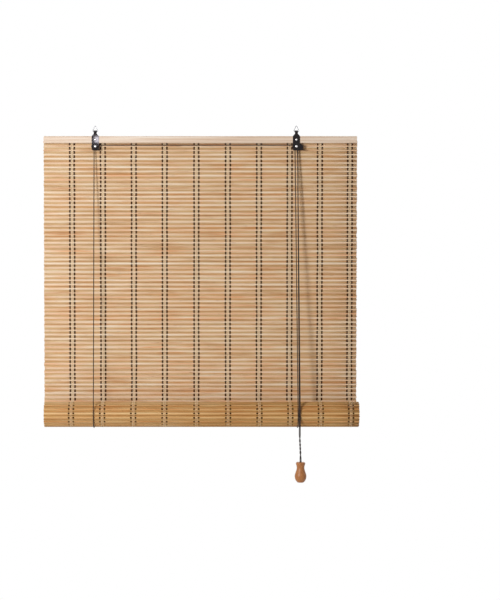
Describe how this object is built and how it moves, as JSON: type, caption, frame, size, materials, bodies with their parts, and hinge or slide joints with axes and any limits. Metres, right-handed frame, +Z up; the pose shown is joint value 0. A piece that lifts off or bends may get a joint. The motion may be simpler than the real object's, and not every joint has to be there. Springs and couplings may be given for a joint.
{
  "type": "bamboo roll up blind",
  "caption": "Woven bamboo roll-up blind, partly rolled up, with a wooden headrail on ring brackets, pulleys, a cord lock, looped lift cords and a turned wooden pull.",
  "frame": {"origin": "midway between the two hanging rings, at the height where the wall hooks bear in them", "axes": "+X along the headrail towards the pull cord, -Y towards the room, +Z up"},
  "size_m": [0.9, 0.1004, 1.0201],
  "materials": {
    "rail_wood": "bare planed wood, pale",
    "batten_wood": "bare planed wood",
    "bracket_paint": "dark brown gloss paint",
    "ring_steel": "nickel-plated wire",
    "rivet_steel": "nickel-plated",
    "pulley_steel": "plated steel",
    "slat_bamboo": "carbonised bamboo, satin",
    "thin_bamboo": "natural bamboo, satin",
    "stick_bamboo": "natural bamboo, satin",
    "dark_thread": "spun thread, dark brown",
    "pale_thread": "spun thread, straw",
    "brown_cord": "braided cord, brown",
    "pull_wood": "turned wood, clear varnish"
  },
  "bodies": {
    "root": {"headrail": "rail_wood", "left_bracket": "bracket_paint", "right_bracket": "bracket_paint", "bracket_screws": "rivet_steel", "left_axle": "rivet_steel", "right_axle": "rivet_steel", "cam_axle": "bracket_paint", "mat_staples": "rivet_steel", "cord_staples": "rivet_steel", "wide_slats": "slat_bamboo", "thin_slats": "thin_bamboo", "round_sticks": "stick_bamboo", "dark_threads": "dark_thread", "front_stitching": "pale_thread", "back_stitching": "pale_thread", "left_cord_back": "brown_cord", "left_cord_front": "brown_cord", "right_cord_back": "brown_cord", "right_cord_front": "brown_cord", "pull_cord_upper": "brown_cord", "cross_cord": "brown_cord", "right_cord_turn": "brown_cord"},
    "lift": {"left_cord_loop": "brown_cord", "right_cord_loop": "brown_cord", "tail_wide_slats": "slat_bamboo", "tail_thin_slats": "thin_bamboo", "tail_round_sticks": "stick_bamboo", "tail_dark_threads": "dark_thread", "tail_stitching": "pale_thread"},
    "roll": {"roll_turns": "stick_bamboo", "roll_wide_slats": "slat_bamboo", "roll_thin_slats": "thin_bamboo", "roll_round_sticks": "stick_bamboo", "roll_dark_threads": "dark_thread", "roll_stitching": "pale_thread", "bottom_batten": "batten_wood"},
    "pull": {"pull_cord_lower": "brown_cord", "pull_knob": "pull_wood", "cord_knot": "brown_cord"},
    "left_pulley": {"left_pulley": "pulley_steel"},
    "right_pulley": {"right_pulley": "pulley_steel"},
    "lock_cam": {"lock_cam": "bracket_paint"},
    "left_ring": {"left_ring": "ring_steel"},
    "right_ring": {"right_ring": "ring_steel"}
  },
  "joints": [
    {"name": "roll_lift", "type": "slide", "parent": "root", "child": "lift", "axis": [0, 0, 1], "range_m": [0, 0.678], "deforming": ["wide_slats", "thin_slats", "round_sticks", "dark_threads", "front_stitching", "back_stitching", "left_cord_back", "right_cord_back", "left_cord_front", "right_cord_front", "pull_cord_upper"]},
    {"name": "roll_spin", "type": "hinge", "parent": "lift", "child": "roll", "pos_m": [0, -0.02635, -0.82728], "axis": [-1, 0, 0], "range_deg": [0, 1080]},
    {"name": "pull_travel", "type": "slide", "parent": "lift", "child": "pull", "axis": [0, 0, -1], "range_m": [0, 2.04], "deforming": ["pull_cord_lower"]},
    {"name": "left_pulley_spin", "type": "hinge", "parent": "root", "child": "left_pulley", "pos_m": [-0.289, 0.00365, -0.0575], "axis": [0, 1, 0], "continuous": true},
    {"name": "right_pulley_spin", "type": "hinge", "parent": "root", "child": "right_pulley", "pos_m": [0.289, 0.00365, -0.0575], "axis": [0, 1, 0], "continuous": true},
    {"name": "lock_cam_swing", "type": "hinge", "parent": "root", "child": "lock_cam", "pos_m": [0.3008, 0.00365, -0.06246], "axis": [0, -1, 0], "range_deg": [0, 35]},
    {"name": "left_ring_swing", "type": "hinge", "parent": "root", "child": "left_ring", "pos_m": [-0.289, 0, -0.014], "axis": [1, 0, 0], "range_deg": [-80, 80]},
    {"name": "right_ring_swing", "type": "hinge", "parent": "root", "child": "right_ring", "pos_m": [0.289, 0, -0.014], "axis": [1, 0, 0], "range_deg": [-80, 80]}
  ],
  "couplings": [
    {"joint": "roll_spin", "follows": "roll_lift", "rad_per_m": 27.397},
    {"joint": "pull_travel", "follows": "roll_lift", "ratio": 3},
    {"joint": "left_pulley_spin", "follows": "roll_lift", "rad_per_m": 526.32},
    {"joint": "right_pulley_spin", "follows": "roll_lift", "rad_per_m": 526.32}
  ]
}
